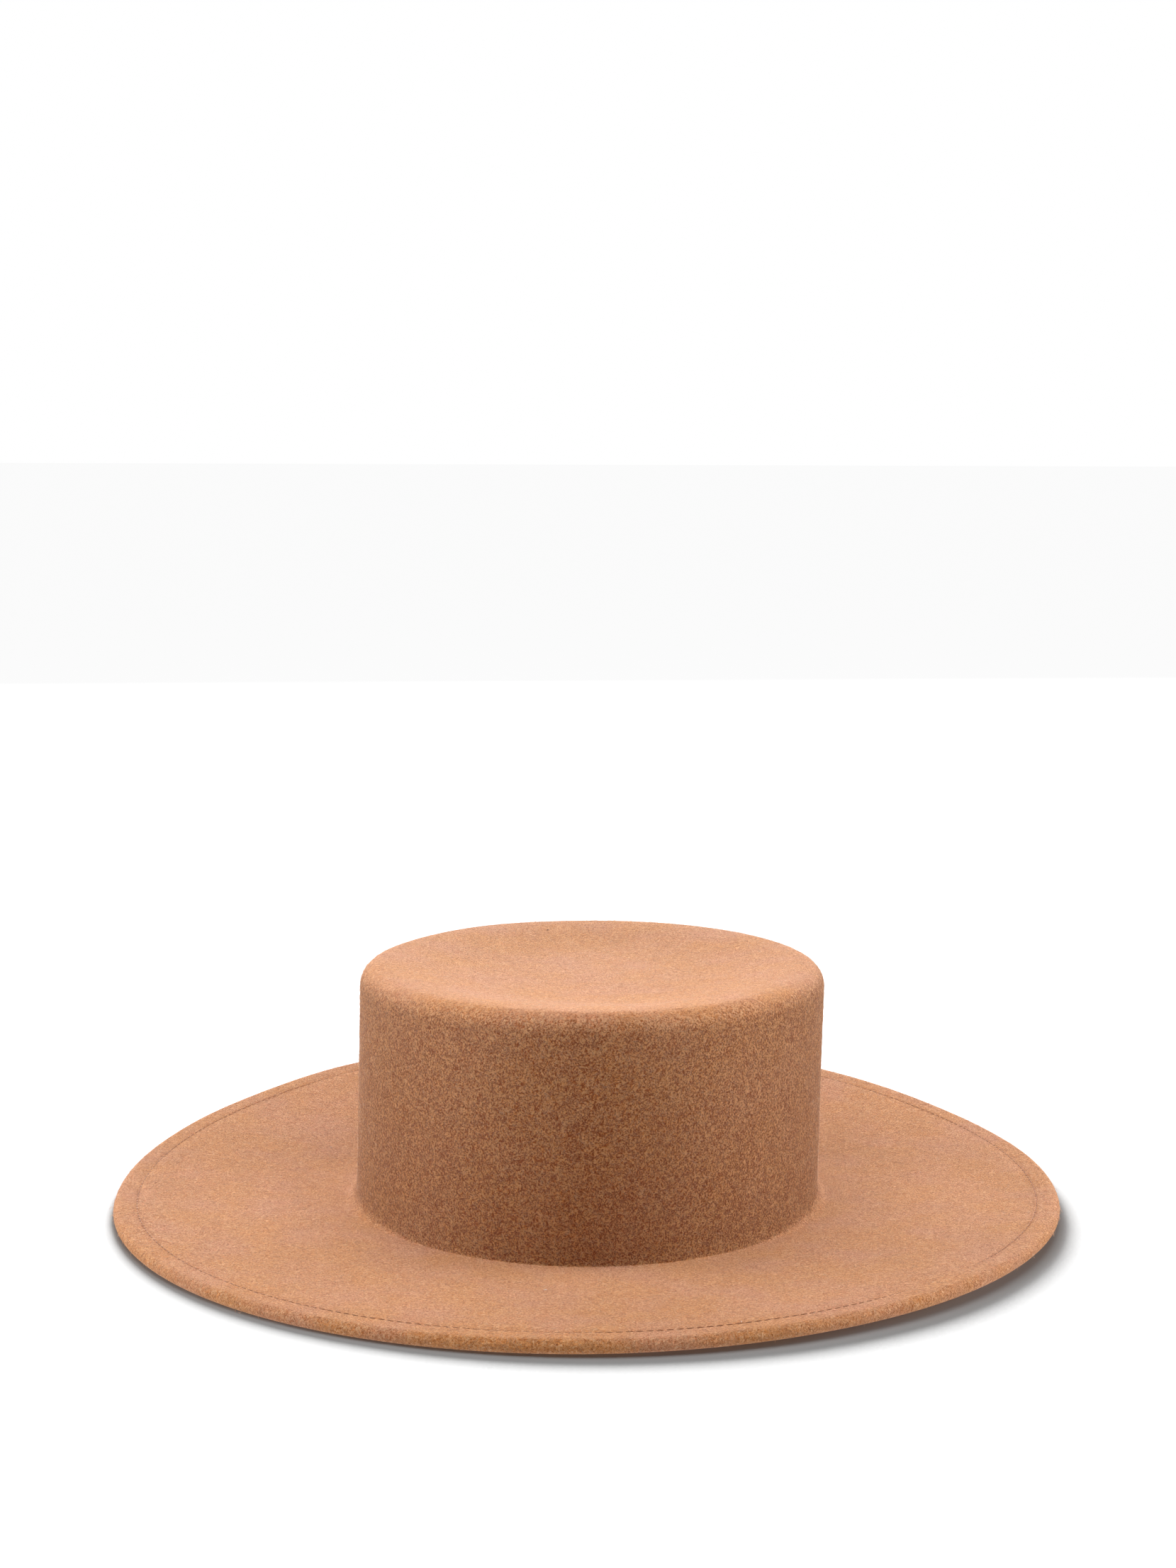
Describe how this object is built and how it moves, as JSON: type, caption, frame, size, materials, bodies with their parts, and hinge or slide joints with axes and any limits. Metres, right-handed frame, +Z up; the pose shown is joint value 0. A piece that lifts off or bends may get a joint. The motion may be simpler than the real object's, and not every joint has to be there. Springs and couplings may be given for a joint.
{
  "type": "boater hat",
  "caption": "Flat-topped felt hat with an oval crown, a dished tip and a wide, nearly level brim with a hem folded under; it rests on its brim.",
  "frame": {"origin": "middle of the head opening, on the surface that the hat rests on", "axes": "+Z up through the crown, +Y towards the back of the hat along its longer side, +X towards the wearer's left"},
  "size_m": [0.3586, 0.3806, 0.092],
  "materials": {
    "wool_felt": "matte camel wool felt with a short nap"
  },
  "bodies": {
    "root": {"felt_body": "wool_felt"}
  },
  "joints": []
}
